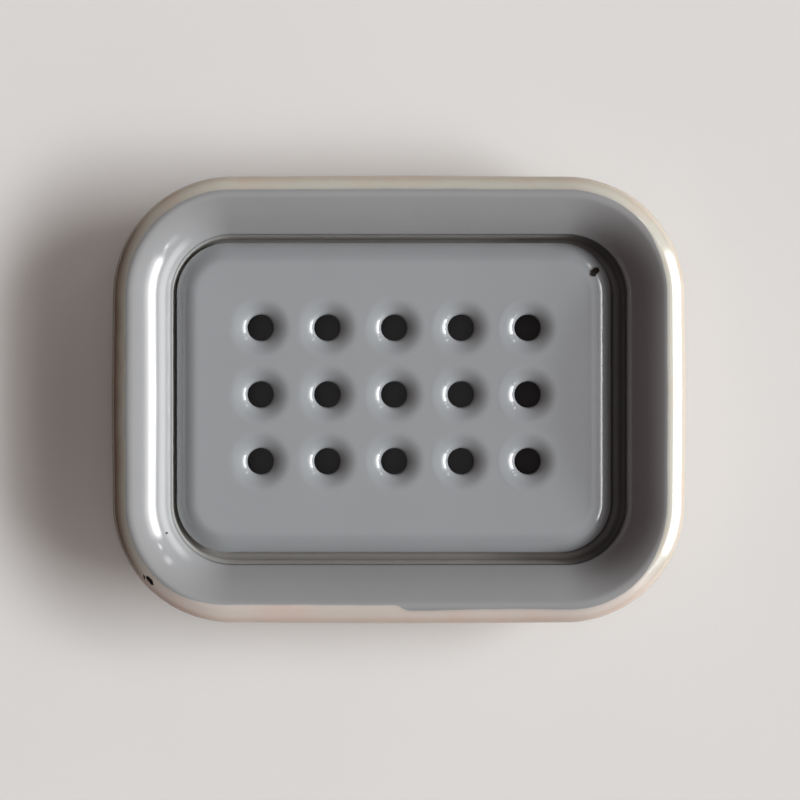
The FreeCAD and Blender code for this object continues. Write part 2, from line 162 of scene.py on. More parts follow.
@dataclass(frozen=True)
class Outline:
    """A rounded rectangle about the dish's middle that a section is swept round."""

    half_length: float
    half_width: float
    corner: float
    long_steps: int
    short_steps: int

    def loop(self) -> tuple[np.ndarray, np.ndarray]:
        """Corner centres or points beside the straight sides, with the outward direction at each.

        Returns:
            Anchors and directions, from the middle of the front left corner round to the left.
        """
        inner_x, inner_y = self.half_length - self.corner, self.half_width - self.corner
        corners = [(-inner_x, -inner_y), (inner_x, -inner_y), (inner_x, inner_y),
                   (-inner_x, inner_y)]
        anchors, headings = [], []
        for side in range(4):
            start, end = np.array(corners[side]), np.array(corners[(side + 1) % 4])
            steps = (self.short_steps if side % 2 else self.long_steps) - 2 * HALF_CORNER_STEPS
            middle = 90.0 * side - 90.0
            turn = np.linspace(0, 45, HALF_CORNER_STEPS + 1)
            anchors += [np.tile(start, (HALF_CORNER_STEPS, 1)),
                        start + np.linspace(0, 1, steps + 1)[:, None] * (end - start),
                        np.tile(end, (HALF_CORNER_STEPS - 1, 1))]
            headings += [middle - 45 + turn[:-1], np.full(steps + 1, middle), middle + turn[1:-1]]
        angles = np.radians(np.concatenate(headings))
        return np.vstack(anchors), np.column_stack([np.cos(angles), np.sin(angles)])

    def sweep(self, section: np.ndarray) -> np.ndarray:
        """Carry each point of a section round the outline.

        Args:
            section: Rows of inset and height.

        Returns:
            Points by section row and place round the outline.
        """
        anchors, directions = self.loop()
        reach = (self.corner - section[:, 0])[:, None, None]
        flat = anchors[None] + directions[None] * reach
        heights = np.broadcast_to(section[:, 1][:, None, None], flat.shape[:2] + (1,))
        return np.concatenate([flat, heights], axis=2)


class Shell:
    """Gathers the points and faces of one closed sheet-metal piece, with lengths at each point."""

    VALUE_NAMES = ("past_line", "rim_inset")

    def __init__(self) -> None:
        """Start an empty shell."""
        self.points = np.zeros((0, 3))
        self.values = np.zeros((0, len(self.VALUE_NAMES)))
        self.faces: list[np.ndarray] = []

    def lay(self, points: np.ndarray, values: Sequence[Union[np.ndarray, float]]) -> np.ndarray:
        """Add points and return their numbers in the same arrangement.

        Args:
            points: Points whose last axis is x, y and z.
            values: For each name, one value for each point or one for all.

        Returns:
            The numbers of the points.
        """
        shape = points.shape[:-1]
        first = len(self.points)
        added = [np.broadcast_to(value, shape).ravel() for value in values]
        self.points = np.vstack([self.points, points.reshape(-1, 3)])
        self.values = np.vstack([self.values, np.column_stack(added)])
        return np.arange(first, len(self.points)).reshape(shape)

    def skin(self, rows: np.ndarray, closed: bool = True) -> None:
        """Cover the space between neighbouring rows of points with quads.

        Args:
            rows: Point numbers by row and place in the row.
            closed: Whether each row runs back to its first point.
        """
        ahead = np.roll(rows, -1, axis=1)
        quads = np.stack([rows[:-1], ahead[:-1], ahead[1:], rows[1:]], axis=-1)
        if not closed:
            quads = quads[:, :-1]
        self.faces.append(quads.reshape(-1, 4))

    def bridge(self, outer: np.ndarray, inner: np.ndarray, rings: int) -> None:
        """Join two loops of points with evenly spaced rings between them.

        Args:
            outer: Point numbers of one loop.
            inner: Point numbers of the other loop.
            rings: How many bands of faces lie between them.
        """
        share = np.linspace(0, 1, rings + 1)[1:-1, None, None]
        points = self.points[outer] * (1 - share) + self.points[inner] * share
        values = self.values[outer] * (1 - share) + self.values[inner] * share
        self.skin(np.vstack([outer, self.lay(points, np.moveaxis(values, -1, 0)), inner]))

    def fill(self, loop: np.ndarray, long_steps: int, short_steps: int, margin: float) -> None:
        """Close a loop with a grid whose edge lies a margin inside it.

        Args:
            loop: Point numbers of the loop, as an outline's sweep arranges them.
            long_steps: Cells along the grid.
            short_steps: Cells across the grid.
            margin: Space between the loop's sides and the grid.
        """
        around = self.points[loop]
        half_length, half_width = np.abs(around[:, :2]).max(axis=0) - margin
        height, values = around[:, 2].mean(), self.values[loop].mean(axis=0)
        x, y = np.meshgrid(np.linspace(-half_length, half_length, long_steps + 1),
                           np.linspace(-half_width, half_width, short_steps + 1))
        grid = self.lay(np.dstack([x, y, np.full_like(x, height)]), values)
        self.skin(grid, closed=False)
        edge = np.concatenate([grid[0, :-1], grid[:-1, -1], grid[-1, :0:-1], grid[:0:-1, 0]])
        self.bridge(loop, edge, FILL_RINGS)

    def make(self, name: str) -> bpy.types.Object:
        """Weld the points, turn the faces outward and make a smooth object.

        Args:
            name: Name of the object.

        Returns:
            The new object, linked to the scene.
        """
        mesh = bpy.data.meshes.new(name)
        mesh.from_pydata(self.points.tolist(), [], np.vstack(self.faces).tolist())
        for value_name, values in zip(self.VALUE_NAMES, self.values.T):
            layer = mesh.attributes.new(value_name, "FLOAT", "POINT")
            layer.data.foreach_set("value", values.astype(np.float32))
        work = bmesh.new()
        work.from_mesh(mesh)
        bmesh.ops.remove_doubles(work, verts=work.verts, dist=WELD)
        bmesh.ops.recalc_face_normals(work, faces=work.faces)
        for face in work.faces:
            face.smooth = True
        work.to_mesh(mesh)
        work.free()
        made = bpy.data.objects.new(name, mesh)
        bpy.context.scene.collection.objects.link(made)
        return made


class Wire:
    """One output of a shader node, on which Python's own operators work."""

    def __init__(self, recipe: "Recipe", socket: bpy.types.NodeSocket) -> None:
        """Wrap a socket of a recipe's node."""
        self.recipe = recipe
        self.socket = socket

    def _math(self, operation: str, *values: "Value") -> "Wire":
        """Feed values to a Math node."""
        return self.recipe.node("ShaderNodeMath", {"operation": operation},
                                dict(enumerate(values)))

    def __add__(self, other: "Value") -> "Wire":
        """Sum with a value."""
        return self._math("ADD", self, other)

    def __radd__(self, other: "Value") -> "Wire":
        """Sum with a value."""
        return self._math("ADD", other, self)

    def __sub__(self, other: "Value") -> "Wire":
        """Difference from a value."""
        return self._math("SUBTRACT", self, other)

    def __rsub__(self, other: "Value") -> "Wire":
        """Difference of a value from this one."""
        return self._math("SUBTRACT", other, self)

    def __mul__(self, other: "Value") -> "Wire":
        """Product with a value."""
        return self._math("MULTIPLY", self, other)

    def __rmul__(self, other: "Value") -> "Wire":
        """Product with a value."""
        return self._math("MULTIPLY", other, self)

    def at_least(self, other: "Value") -> "Wire":
        """The larger of two values."""
        return self._math("MAXIMUM", self, other)

    def inverse_root(self) -> "Wire":
        """One over the square root."""
        return self._math("INVERSE_SQRT", self)

    def ramp(self, low: float, high: float) -> "Wire":
        """A smooth step from 0 at one value to 1 at another."""
        return self.recipe.node("ShaderNodeMapRange", {"interpolation_type": "SMOOTHSTEP"},
                                {"Value": self, "From Min": low, "From Max": high})


Value = Union[Wire, float, Colour, Vector]


@dataclass(frozen=True)
class Grain:
    """Size of a noise's features, how many finer layers it has and how strong those are."""

    feature: float
    detail: float = 2.0
    rough: float = 0.5


class Recipe:
    """The node tree of one material or world."""

    def __init__(self, tree: bpy.types.NodeTree) -> None:
        """Start with an empty tree."""
        self.tree = tree
        tree.nodes.clear()

    def add(self, kind: str, settings: Optional[Mapping[str, object]] = None,
            inputs: Optional[Mapping[Union[str, int], "Value"]] = None) -> bpy.types.Node:
        """Add a node, set it up and connect it.

        Args:
            kind: Type of the node.
            settings: Its own settings, which are set first.
            inputs: Values or wires for its inputs, by name, identifier or place.

        Returns:
            The node.
        """
        made = self.tree.nodes.new(kind)
        for name, value in (settings or {}).items():
            setattr(made, name, value)
        for key, value in (inputs or {}).items():
            socket = self._socket(made.inputs, key)
            if isinstance(value, Wire):
                self.tree.links.new(value.socket, socket)
            elif isinstance(value, tuple) and socket.type == "RGBA":
                socket.default_value = (*value, 1.0)
            else:
                socket.default_value = value
        return made

    def node(self, kind: str, settings: Optional[Mapping[str, object]] = None,
             inputs: Optional[Mapping[Union[str, int], "Value"]] = None,
             output: Union[str, int] = 0) -> Wire:
        """Add a node and take one of its outputs, by name, identifier or place."""
        return Wire(self, self._socket(self.add(kind, settings, inputs).outputs, output))

    @staticmethod
    def _socket(sockets: bpy.types.bpy_prop_collection,
                key: Union[str, int]) -> bpy.types.NodeSocket:
        """Find a socket.

        Args:
            sockets: Sockets of a node.
            key: The socket's place, identifier or name.

        Returns:
            The socket.
        """
        if isinstance(key, int):
            return sockets[key]
        exact = [socket for socket in sockets if socket.identifier == key]
        return exact[0] if exact else sockets[key]

    def blend(self, share: "Value", first: "Value", second: "Value", way: str = "MIX") -> Wire:
        """Mix two colours: the first at a share of 0, and the second at a share of 1."""
        return self.node("ShaderNodeMix", {"data_type": "RGBA", "blend_type": way},
                         {"Factor_Float": share, "A_Color": first, "B_Color": second},
                         "Result_Color")

    def multiply(self, first: "Value", second: "Value") -> Wire:
        """Product of two colours."""
        return self.blend(1.0, first, second, "MULTIPLY")

    def grey(self, level: Wire) -> Wire:
        """A grey of one level."""
        return self.node("ShaderNodeCombineColor", None, dict.fromkeys(range(3), level))

    def shade(self, colour: "Value", change: Wire) -> Wire:
        """Make a colour lighter by a small share, or darker where the share is below 0."""
        return self.multiply(colour, self.grey(1.0 + change))

    @cached_property
    def place(self) -> Wire:
        """Where a point lies on the piece, in metres."""
        return self.node("ShaderNodeTexCoord", output="Object")

    def axis(self, place: Wire, name: str) -> Wire:
        """The X, Y or Z of a place or direction."""
        return self.node("ShaderNodeSeparateXYZ", None, {0: place}, name)

    def reach(self, along: Wire, across: Wire) -> Wire:
        """Length of a level vector."""
        flat = self.node("ShaderNodeCombineXYZ", None, {0: along, 1: across})
        return self.node("ShaderNodeVectorMath", {"operation": "LENGTH"}, {0: flat}, "Value")

    def attribute(self, name: str) -> Wire:
        """A value that the piece's mesh holds at each point."""
        return self.node("ShaderNodeAttribute", {"attribute_name": name}, output="Fac")

    def noise(self, grain: Grain) -> Wire:
        """Soft noise about 0 over the piece, mostly within half a unit either way."""
        return self.node("ShaderNodeTexNoise", None, {
            "Vector": self.place, "Scale": 1 / grain.feature, "Detail": grain.detail,
            "Roughness": grain.rough}) - 0.5


class Piece(Enum):
    """The two loose pieces of the dish: CAD node, name in the scene, and material slot."""

    TRAY = ("dish_tray", "tray_shell", "tray_enamel")
    DRAINER = ("drainer_insert", "drainer_shell", "insert_enamel")

    def seat(self, made: bpy.types.Object) -> None:
        """Let an object stand for the piece's CAD node.

        Args:
            made: The object.
        """
        node, _, slot = self.value
        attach(made, "root")
        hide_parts(node)

    @property
    def title(self) -> str:
        """Name of the piece in the scene."""
        return self.value[1]

    @property
    def box(self) -> tuple[Vector, Vector]:
        """Lowest and highest corner of the piece's CAD node."""
        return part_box(self.value[0])


@dataclass(frozen=True)
class Chip:
    """A place where the enamel is broken off: one lobe of its outline, as a turned ellipse."""

    place: tuple[float, float, float]
    half_sizes: tuple[float, float, float]
    turn: float

    def mask(self, recipe: Recipe, ragged: Wire) -> Wire:
        """How far inside the lobe a point is.

        Args:
            recipe: Recipe of the material.
            ragged: Noise that frays the outline.

        Returns:
            1 in the middle of the lobe, 0 on its outline and less outside.
        """
        local = recipe.node("ShaderNodeMapping", {"vector_type": "TEXTURE"}, {
            "Vector": recipe.place, "Location": Vector(self.place),
            "Rotation": Vector((0, 0, math.radians(self.turn))),
            "Scale": Vector(self.half_sizes)})
        away = recipe.node("ShaderNodeVectorMath", {"operation": "LENGTH"}, {0: local}, "Value")
        return 1.0 - away + ragged


@dataclass(frozen=True)
class Enamel:
    """What sets one piece's enamel apart: its colours, its chips, and where shade and light are
    painted on it.

    The inside has one colour. Past a wandering line lie the rim, its outer edge and the outside,
    each with its own.
    """

    name: str
    inside: Colour
    rim: Colour
    edge: Colour
    outside: Colour
    chips: tuple[Chip, ...]
    # Height below which the painted light in the gap lies.
    gap_light_top: tuple[float, float] = (11.0 * MM, 13.5 * MM)
    # Painted shade at the right end: its strength and the radii over which it fades.
    right_shade_strength: float = 0.0
    right_shade_radii: tuple[float, float] = (36.0 * MM, 47.0 * MM)

    def material(self) -> bpy.types.Material:
        """Make the material.

        Returns:
            The material.
        """
        made = bpy.data.materials.new(self.name)
        made.use_nodes = True
        EnamelRecipe(made.node_tree, self).finish()
        return made


class EnamelRecipe(Recipe):
    """Fired glass enamel on steel, with its chips and specks, painted shade on the left end, the
    right end and the floor under the drainer, and painted light low in the gap between the pieces.
    """

    GLOSS = 0.10
    PATCHY_GLOSS = 0.05
    DULL = 0.65
    INDEX = 1.52

    # Colours of what shows through the enamel, of painted light and painted shade, and tints.
    # Painted shade: a near-black colour on the tray's floor beneath the drainer.
    WELL_PAINTED_SHADE = (0.050, 0.050, 0.052)
    # Painted light: a pale colour that lightens the shaded gap low down between the pieces.
    GAP_PAINTED_LIGHT = (0.72, 0.72, 0.695)
    # Painted shade on the outer rim at the left end, which faces away from the light.
    LEFT_SHADE_TONE = (0.125, 0.075, 0.050)
    STEEL = (0.022, 0.019, 0.019)
    GROUND_COAT = (0.10, 0.075, 0.062)
    # Painted shade towards the right end of the inside.
    RIGHT_SHADE_TONE = (0.03, 0.0, 0.0)
    NO_TINT = (1.0, 1.0, 1.0)
    PINK_TINT = (1.03, 0.95, 0.92)
    FRONT_TINT = (1.10, 1.01, 1.05)

    # Grain of each noise.
    CLOUDS = Grain(28 * MM, 3.0, 0.55)
    MOTTLE = Grain(3.2 * MM, 4.0, 0.6)
    WANDER = Grain(6 * MM)
    FRAY = Grain(1.1 * MM, 3.0, 0.55)
    PINK = Grain(9 * MM)
    SPECKS = Grain(0.55 * MM, 1.0)
    SPECKLED = Grain(7 * MM, 1.0)
    GAP_LIGHT_GRAIN = Grain(5 * MM, 3.0, 0.6)
    PATCHES = Grain(11 * MM, 4.0, 0.6)
    SWELL = Grain(9 * MM, 2.0, 0.45)
    PEEL = Grain(1.1 * MM)
    RAGGED = Grain(0.9 * MM, 3.0, 0.6)
    RUST = Grain(0.35 * MM, 3.0, 0.65)
    PITS = Grain(0.4 * MM, 3.0, 0.6)

    # How much each noise changes what it is added to, and the depth of each kind of relief.
    CLOUD_CHANGE = 0.10
    INSIDE_MOTTLE = 0.03
    RIM_MOTTLE = 0.05
    LINE_WANDER = 0.42 * MM
    LINE_FRAY = 0.16 * MM
    RIM_WANDER = 2.0
    GAP_LIGHT_RISE = 0.8 * MM
    RAGGED_CHANGE = 1.1
    SWELL_DEPTH = 0.010 * MM
    PEEL_DEPTH = 0.0012 * MM
    CHIP_DEPTH = 0.22 * MM
    PIT_DEPTH = 0.12 * MM

    # Share of each mark where it is strongest.
    FRINGE_SHARE = 0.75
    RUST_SHARE = 0.6
    LEFT_SHADE_SHARE = 0.80
    THIN_SHARE = 0.22
    GAP_LIGHT_SHARE = 0.9
    SPECK_SHARE = 0.55

    # Values between which a mark comes in: of a noise, of how far a point lies inside a chip, past
    # the line or out over the rim, and of its place on the dish.
    PINK_RUN = (-0.05, 0.25)
    SPECK_RUN = (0.285, 0.33)
    SPECKLED_RUN = (0.05, 0.22)
    RUST_RUN = (0.02, 0.22)
    FRINGE_RUN = (-0.26, 0.0)
    STEEL_RUN = (-0.03, 0.07)
    CHIP_RUN = (-0.05, 0.18)
    PIT_RUN = (0.0, 0.15)
    LINE_RUN = (-0.13 * MM, 0.13 * MM)
    THIN_RUN = (0.0, 0.9 * MM)
    EDGE_RUN = (-2.4 * MM, -0.3 * MM)
    OUTSIDE_RUN = (-0.5 * MM, 2.5 * MM)
    LEFT_SHADE_RUN = (-3.6 * MM, -0.6 * MM)
    UPPER_RUN = (0.0, 1.0 * MM)
    WELL_RUN = (1.25 * MM, 1.7 * MM)
    FRONT_RUN = (-48.0 * MM, -38.0 * MM)
    LEFT_SHADE_END = (-68.0 * MM, -60.0 * MM)
    GAP_LIGHT_RUN = (38.0 * MM, 50.0 * MM)
    RIGHT_SHADE_CENTRE_X = 78.0 * MM

    def __init__(self, tree: bpy.types.NodeTree, enamel: Enamel) -> None:
        """Start with what several parts of the recipe read.

        Args:
            tree: Node tree of the material.
            enamel: The piece's enamel.
        """
        super().__init__(tree)
        self.enamel = enamel
        self.along, self.across, self.height = (self.axis(self.place, name) for name in "XYZ")
        self.line, self.rim_inset = (self.attribute(name) for name in Shell.VALUE_NAMES)
        self.upper = self.rim_inset.ramp(*self.UPPER_RUN)
        # Where the painted shade goes: the tray's floor beneath the drainer.
        self.well = (1.0 - self.height.ramp(*self.WELL_RUN)) * self.upper
        ragged = self.noise(self.RAGGED) * self.RAGGED_CHANGE
        self.broken = reduce(Wire.at_least, [chip.mask(self, ragged) for chip in enamel.chips])
        self.steel = self.broken.ramp(*self.STEEL_RUN)

    def finish(self) -> None:
        """Put the shader together, so that its every value follows the piece's own surface."""
        self.add("ShaderNodeOutputMaterial", None, {
            "Surface": self.node("ShaderNodeBsdfPrincipled", None, {
                "Base Color": self._colour(), "Metallic": self.steel,
                "Roughness": self._roughness(), "Normal": self._relief(), "IOR": self.INDEX})})

    def _colour(self) -> Wire:
        """Colour of the enamel, of what lies on it and of the steel in the chips.

        Returns:
            The colour.
        """
        clouds = self.noise(self.CLOUDS) * self.CLOUD_CHANGE
        mottle = self.noise(self.MOTTLE)
        wander = self.noise(self.WANDER) * self.LINE_WANDER
        past = self.line + wander + self.noise(self.FRAY) * self.LINE_FRAY
        inside = self.shade(self.enamel.inside, clouds + mottle * self.INSIDE_MOTTLE)
        # Painted shade: darken the inside towards the right end.
        inside = self.blend(self._right_painted_shade() * self.enamel.right_shade_strength, inside, self.RIGHT_SHADE_TONE)
        warm = self._warm(wander * self.RIM_WANDER - self.rim_inset,
                          clouds + mottle * self.RIM_MOTTLE)
        thin = (1.0 - past.ramp(*self.THIN_RUN)) * self.THIN_SHARE
        warm = self.blend(thin, warm, self.enamel.inside)
        mixed = self.blend(past.ramp(*self.LINE_RUN), inside, warm)
        # Painted light: lighten the shaded gap low down between the pieces, away from the right
        # end.
        mixed = self.blend(self._gap_painted_light(), mixed, self.GAP_PAINTED_LIGHT)
        # Painted shade on the floor beneath the drainer.
        mixed = self.blend(self.well, mixed, self.WELL_PAINTED_SHADE)
        specks = self.noise(self.SPECKS).ramp(*self.SPECK_RUN)
        specks = specks * self.noise(self.SPECKLED).ramp(*self.SPECKLED_RUN)
        mixed = self.blend(specks * self.SPECK_SHARE, mixed, self.GROUND_COAT)
        fringe = self.broken.ramp(*self.FRINGE_RUN) * self.FRINGE_SHARE
        mixed = self.blend(fringe, mixed, self.GROUND_COAT)
        rust = self.noise(self.RUST).ramp(*self.RUST_RUN) * self.RUST_SHARE
        return self.blend(self.steel, mixed, self.blend(rust, self.STEEL, self.GROUND_COAT))

    def _warm(self, outward: Wire, change: Wire) -> Wire:
        """Colour past the line, lighter and pinker at the front, with painted shade on the outer
        rim at the left end.

        Args:
            outward: How far a point lies out over the rim's outermost line.
            change: How much lighter than plain the colour is, as a share.

        Returns:
            The colour.
        """
        warm = self.blend(outward.ramp(*self.EDGE_RUN), self.enamel.rim, self.enamel.edge)
        warm = self.blend(outward.ramp(*self.OUTSIDE_RUN), warm, self.enamel.outside)
        pink = self.noise(self.PINK).ramp(*self.PINK_RUN)
        warm = self.multiply(warm, self.blend(pink, self.NO_TINT, self.PINK_TINT))
        warm = self.shade(warm, change)
        front = 1.0 - self.across.ramp(*self.FRONT_RUN)
        warm = self.blend(front, warm, self.multiply(warm, self.FRONT_TINT))
        # Painted shade on the outer rim at the left end.
        left = 1.0 - self.along.ramp(*self.LEFT_SHADE_END)
        return self.blend(left * outward.ramp(*self.LEFT_SHADE_RUN) * self.LEFT_SHADE_SHARE, warm, self.LEFT_SHADE_TONE)

    def _gap_painted_light(self) -> Wire:
        """Share of the painted light that lightens the shaded gap low down where the two pieces lie
        close together.

        Returns:
            The share.
        """
        height = self.height + self.noise(self.GAP_LIGHT_GRAIN) * self.GAP_LIGHT_RISE
        low = 1.0 - height.ramp(*self.enamel.gap_light_top)
        away = 1.0 - self.along.ramp(*self.GAP_LIGHT_RUN)
        return low * away * self.upper * self.GAP_LIGHT_SHARE

    def _right_painted_shade(self) -> Wire:
        """Share of the painted shade that darkens the inside towards the right end."""
        away = self.reach(self.along - self.RIGHT_SHADE_CENTRE_X, self.across)
        return 1.0 - away.ramp(*self.enamel.right_shade_radii)

    def _roughness(self) -> Wire:
        """Roughness: glassy with faint duller patches, and dull in the well and on bare steel.

        Returns:
            The roughness.
        """
        glassy = self.noise(self.PATCHES) * self.PATCHY_GLOSS + self.GLOSS
        dull = self.steel.at_least(self.well)
        return glassy * (1.0 - dull) + dull * self.DULL

    def _relief(self) -> Wire:
        """Normal: slow waves, a fine skin like orange peel, and the hollow of each chip.

        Returns:
            The normal.
        """
        pits = self.noise(self.PITS) * self.broken.ramp(*self.PIT_RUN) * self.PIT_DEPTH
        height = (self.noise(self.SWELL) * self.SWELL_DEPTH
                  + self.noise(self.PEEL) * self.PEEL_DEPTH
                  - self.broken.ramp(*self.CHIP_RUN) * self.CHIP_DEPTH + pits)
        return self.node("ShaderNodeBump", None,
                         {"Strength": 1.0, "Distance": 1.0, "Height": height})


@dataclass
class Tray:
    """The pressed tray: flat floor, steep wall, shoulder, and a rim rolled over and under."""

    sheet: float = 1.2 * MM
    roll_radius: float = 2.2 * MM
    roll_past_level: float = 50.0
    brow_slope: float = 27.0
    crest_inset: float = 4.6 * MM
    crest_radius: float = 3.3 * MM
    shoulder_radius: float = 17.3 * MM
    shoulder_start: float = 18.0
    shoulder_end: float = 50.0
    bend_radius: float = 2.0 * MM
    upper_bend: float = 0.9 * MM
    wall_draft: float = 2.5
    foot_radius: float = 2.7 * MM
    long_steps: int = 108
    short_steps: int = 84
    grid_margin: float = 8.0 * MM
    band: float = 3.5 * MM
    front_widening: float = 1.25 * MM
    front_ripple: float = 0.20 * MM
    right_widening: float = 1.4 * MM
    side_bow: float = 0.0060
    end_bow: float = 0.0075
    bow_length: float = 20.0 * MM
    bow_inset: float = 12.0 * MM
    half_length: float = field(init=False)
    half_width: float = field(init=False)
    corner: float = field(init=False)
    centres: dict[str, Point] = field(init=False)

    # Middle and spread of each soft step in the warm band's width, and start and length of its
    # ripple.
    FRONT_STEP = (44.0 * MM, 2.0 * MM)
    MIDDLE_STEP = (-0.8 * MM, 0.55 * MM)
    LEFT_STEP = (-50.0 * MM, 2.5 * MM)
    RIGHT_STEP = (62.0 * MM, 1.5 * MM)
    RIPPLE = (14.0 * MM, 8.0 * MM)

    def __post_init__(self) -> None:
        """Work the centres of the section's arcs out from the rim down to the floor."""
        low, high = Piece.TRAY.box
        self.half_length, self.half_width = (high.x - low.x) / 2, (high.y - low.y) / 2
        self.corner = self.half_length - CORNER_CENTRE_X
        brow, draft = math.radians(self.brow_slope), math.radians(self.wall_draft)
        crest = (self.crest_inset, high.z - self.crest_radius)
        brow_inset = self.roll_radius * (1 - math.sin(brow))
        brow_run = self.crest_inset - self.crest_radius * math.sin(brow) - brow_inset
        brow_height = crest[1] + self.crest_radius * math.cos(brow) - brow_run * math.tan(brow)
        shoulder = beyond(crest, self.crest_radius - self.shoulder_radius, self.shoulder_start)
        bend = beyond(shoulder, self.shoulder_radius - self.bend_radius, self.shoulder_end)
        foot_height = self.sheet + self.foot_radius
        turns = self.bend_radius + self.foot_radius
        rise = bend[1] - foot_height + turns * math.sin(draft)
        foot_inset = bend[0] + turns * math.cos(draft) + rise * math.tan(draft)
        roll_height = brow_height - self.roll_radius * math.cos(brow)
        self.centres = {"roll": (self.roll_radius, roll_height), "crest": crest,
                        "shoulder": shoulder, "bend": bend, "foot": (foot_inset, foot_height)}

    def side(self, depth: float) -> np.ndarray:
        """One side of the sheet, from the floor's edge out to the roll's end.

        Args:
            depth: How far below the upper side it lies.

        Returns:
            Rows of inset and height.
        """
        steep, end, radius = 90.0 - self.wall_draft, self.shoulder_end, self.bend_radius
        shoulder, bend = self.centres["shoulder"], self.centres["bend"]
        if not depth:
            end = steep - tightened(self.shoulder_radius, radius, steep - end, self.upper_bend)
            radius = self.upper_bend
            bend = beyond(shoulder, self.shoulder_radius - radius, end)
        tip_turn = math.degrees(self.sheet / 2 / (self.roll_radius - self.sheet / 2))
        return join_runs(
            arc_points(self.centres["foot"], -(self.foot_radius + depth), 0.0, steep),
            arc_points(bend, radius - depth, steep, end),
            arc_points(shoulder, self.shoulder_radius - depth, end, self.shoulder_start),
            arc_points(self.centres["crest"], self.crest_radius - depth, self.shoulder_start,
                       -self.brow_slope),
            arc_points(self.centres["roll"], self.roll_radius - depth, -self.brow_slope,
                       tip_turn - 90.0 - self.roll_past_level))

    def section(self) -> np.ndarray:
        """The whole section, from the floor's edge round the rim to the edge of the base.

        Returns:
            Rows of inset and height.
        """
        upper, under = self.side(0.0), self.side(self.sheet)[::-1]
        middle = (upper[-1] + under[0]) / 2
        first = math.degrees(math.atan2(*(upper[-1] - middle)))
        tip = arc_points(tuple(middle), self.sheet / 2, first, first - 180.0)
        return join_runs(upper, tip, under)

    def enamel_values(self, section: np.ndarray,
                      points: np.ndarray) -> tuple[np.ndarray, np.ndarray]:
        """Where each point lies in the dipped enamel.

        Args:
            section: Rows of inset and height.
            points: The section's points carried round the outline.

        Returns:
            How far outside the line between the two enamels a point lies, and how far inside the
            rim's outermost line, which is less than nothing on the underside.
        """
        outermost = int(section[:, 0].argmin())
        run = run_lengths(section)
        upper = np.arange(len(section)) <= outermost
        inset = np.where(upper, section[:, 0], run[outermost] - run)[:, None]
        return self.band_width(points[..., 0], points[..., 1]) - inset, inset

    def band_width(self, x: np.ndarray, y: np.ndarray) -> np.ndarray:
        """Width of the warm band on the rim, which the dip left uneven.

        Args:
            x: Where it is read, along the dish.
            y: Where it is read, across the dish.

        Returns:
            The width.
        """
        left_half = soft_step(-x, *self.MIDDLE_STEP)
        start, length = self.RIPPLE
        ripple = self.front_ripple * np.sin((x - start) / length) * (1 - left_half)
        wider = self.front_widening * left_half * soft_step(x, *self.LEFT_STEP)
        return (self.band + soft_step(-y, *self.FRONT_STEP) * (wider + ripple)
                + self.right_widening * soft_step(x, *self.RIGHT_STEP))

    def bowed(self, points: np.ndarray, inset: np.ndarray) -> np.ndarray:
        """Draw the ends of each side in a little, as hand-worked rims have it.

        Args:
            points: Points to move.
            inset: Their inset, because only the rim is bowed.

        Returns:
            The moved points.
        """
        share = np.clip(1 - inset / self.bow_inset, 0, 1)
        x, y = points[..., 0], points[..., 1]
        along_x = x ** 2 / (x ** 2 + (2 * self.bow_length) ** 2)
        along_y = y ** 2 / (y ** 2 + self.bow_length ** 2)
        moved = points.copy()
        moved[..., 0] = x * (1 - self.side_bow * along_y * share)
        moved[..., 1] = y * (1 - self.end_bow * along_x * share)
        return moved

    def build(self) -> bpy.types.Object:
        """Build the tray's mesh and dress it.

        Returns:
            The tray.
        """
        outline = Outline(self.half_length, self.half_width, self.corner, self.long_steps,
                          self.short_steps)
        section = self.section()
        points = outline.sweep(section)
        shell = Shell()
        rows = shell.lay(self.bowed(points, section[:, 0][:, None]),
                         self.enamel_values(section, points))
        shell.skin(rows)
        for edge in (rows[0], rows[-1]):
            shell.fill(edge, self.long_steps, self.short_steps, self.grid_margin)
        made = shell.make(Piece.TRAY.title)
        made.data.materials.append(TRAY_ENAMEL.material())
        Piece.TRAY.seat(made)
        return made


